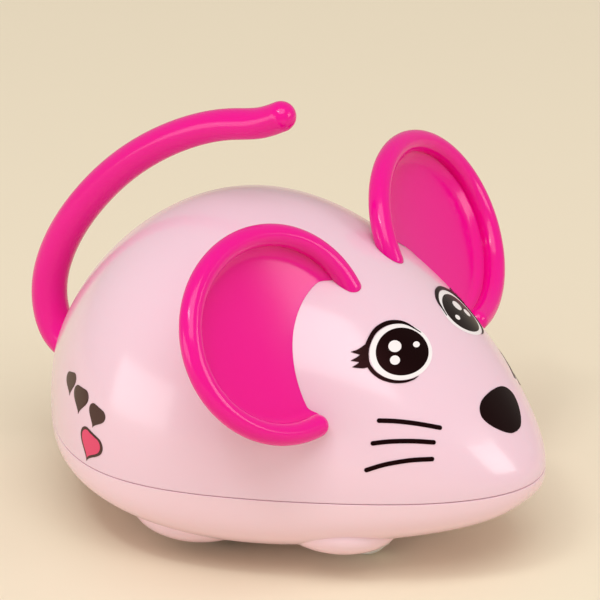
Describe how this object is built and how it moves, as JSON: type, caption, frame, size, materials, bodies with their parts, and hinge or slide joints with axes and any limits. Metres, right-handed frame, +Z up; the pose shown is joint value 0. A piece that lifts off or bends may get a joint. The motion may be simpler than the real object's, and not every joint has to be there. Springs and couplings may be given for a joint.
{
  "type": "clockwork mouse",
  "caption": "Wind-up toy mouse: glossy pink two-shell body on hidden wheels, dished magenta ears, arched rod tail and a spring motor wound by a butterfly key.",
  "frame": {"origin": "on the floor, under the middle of the toy's overall box", "axes": "+X towards the nose, +Y towards the mouse's left, +Z up"},
  "size_m": [0.1056, 0.0974, 0.0779],
  "materials": {
    "pale_pink": "glossy injection-moulded, pale pink",
    "belly_pink": "glossy injection-moulded, pale pink, slightly warmer",
    "magenta": "satin-gloss moulded, hot pink",
    "key_magenta": "glossy moulded, hot pink",
    "screw_steel": "zinc plated",
    "plate_steel": "stamped, bright",
    "shaft_steel": "drawn, bright",
    "spring_steel": "blued",
    "brass": "machined",
    "zinc": "die cast, dull",
    "white_nylon": "moulded, natural white",
    "wheel_white": "moulded, white",
    "tyre_rubber": "black rubber ring"
  },
  "bodies": {
    "chassis": {"upper_shell": "pale_pink", "lower_shell": "belly_pink", "ear_right": "magenta", "ear_left": "magenta", "tail": "magenta", "shell_screws": "screw_steel", "motor_plate_right": "plate_steel", "motor_plate_left": "plate_steel", "motor_pillars": "shaft_steel", "motor_screws": "screw_steel", "mainspring": "spring_steel"},
    "drive_axle": {"rear_axle": "shaft_steel", "drive_pinion": "brass", "rear_wheel_right": "wheel_white", "rear_wheel_left": "wheel_white", "rear_tyre_right": "tyre_rubber", "rear_tyre_left": "tyre_rubber"},
    "second_shaft": {"second_arbor": "shaft_steel", "second_pinion": "brass", "second_wheel": "white_nylon"},
    "great_gear": {"great_wheel": "white_nylon", "clutch_spring": "spring_steel"},
    "governor": {"governor_arbor": "shaft_steel", "governor_pinion": "brass", "governor_flywheel": "zinc"},
    "winding": {"winding_arbor": "shaft_steel", "clutch_collar": "brass", "winding_key": "key_magenta"},
    "front_wheels": {"front_axle": "shaft_steel", "front_wheel_right": "wheel_white", "front_wheel_left": "wheel_white"}
  },
  "joints": [
    {"name": "drive_axle_spin", "type": "hinge", "parent": "chassis", "child": "drive_axle", "pos_m": [-0.00618, 0, 0.0095], "axis": [0, 1, 0], "continuous": true},
    {"name": "second_shaft_spin", "type": "hinge", "parent": "chassis", "child": "second_shaft", "pos_m": [0.00005, 0, 0.01976], "axis": [0, 1, 0], "continuous": true},
    {"name": "great_wheel_spin", "type": "hinge", "parent": "chassis", "child": "great_gear", "pos_m": [-0.01418, 0, 0.0245], "axis": [0, 1, 0], "continuous": true},
    {"name": "governor_spin", "type": "hinge", "parent": "chassis", "child": "governor", "pos_m": [0.00924, 0, 0.02747], "axis": [0, 1, 0], "continuous": true},
    {"name": "winding_key_turn", "type": "hinge", "parent": "great_gear", "child": "winding", "pos_m": [-0.01418, 0, 0.0245], "axis": [0, 1, 0], "continuous": true},
    {"name": "front_axle_spin", "type": "hinge", "parent": "chassis", "child": "front_wheels", "pos_m": [0.02282, 0, 0.0065], "axis": [0, 1, 0], "continuous": true}
  ],
  "couplings": [
    {"joint": "second_shaft_spin", "follows": "drive_axle_spin", "ratio": -0.33333},
    {"joint": "great_wheel_spin", "follows": "drive_axle_spin", "ratio": 0.083333},
    {"joint": "governor_spin", "follows": "drive_axle_spin", "ratio": 1}
  ]
}
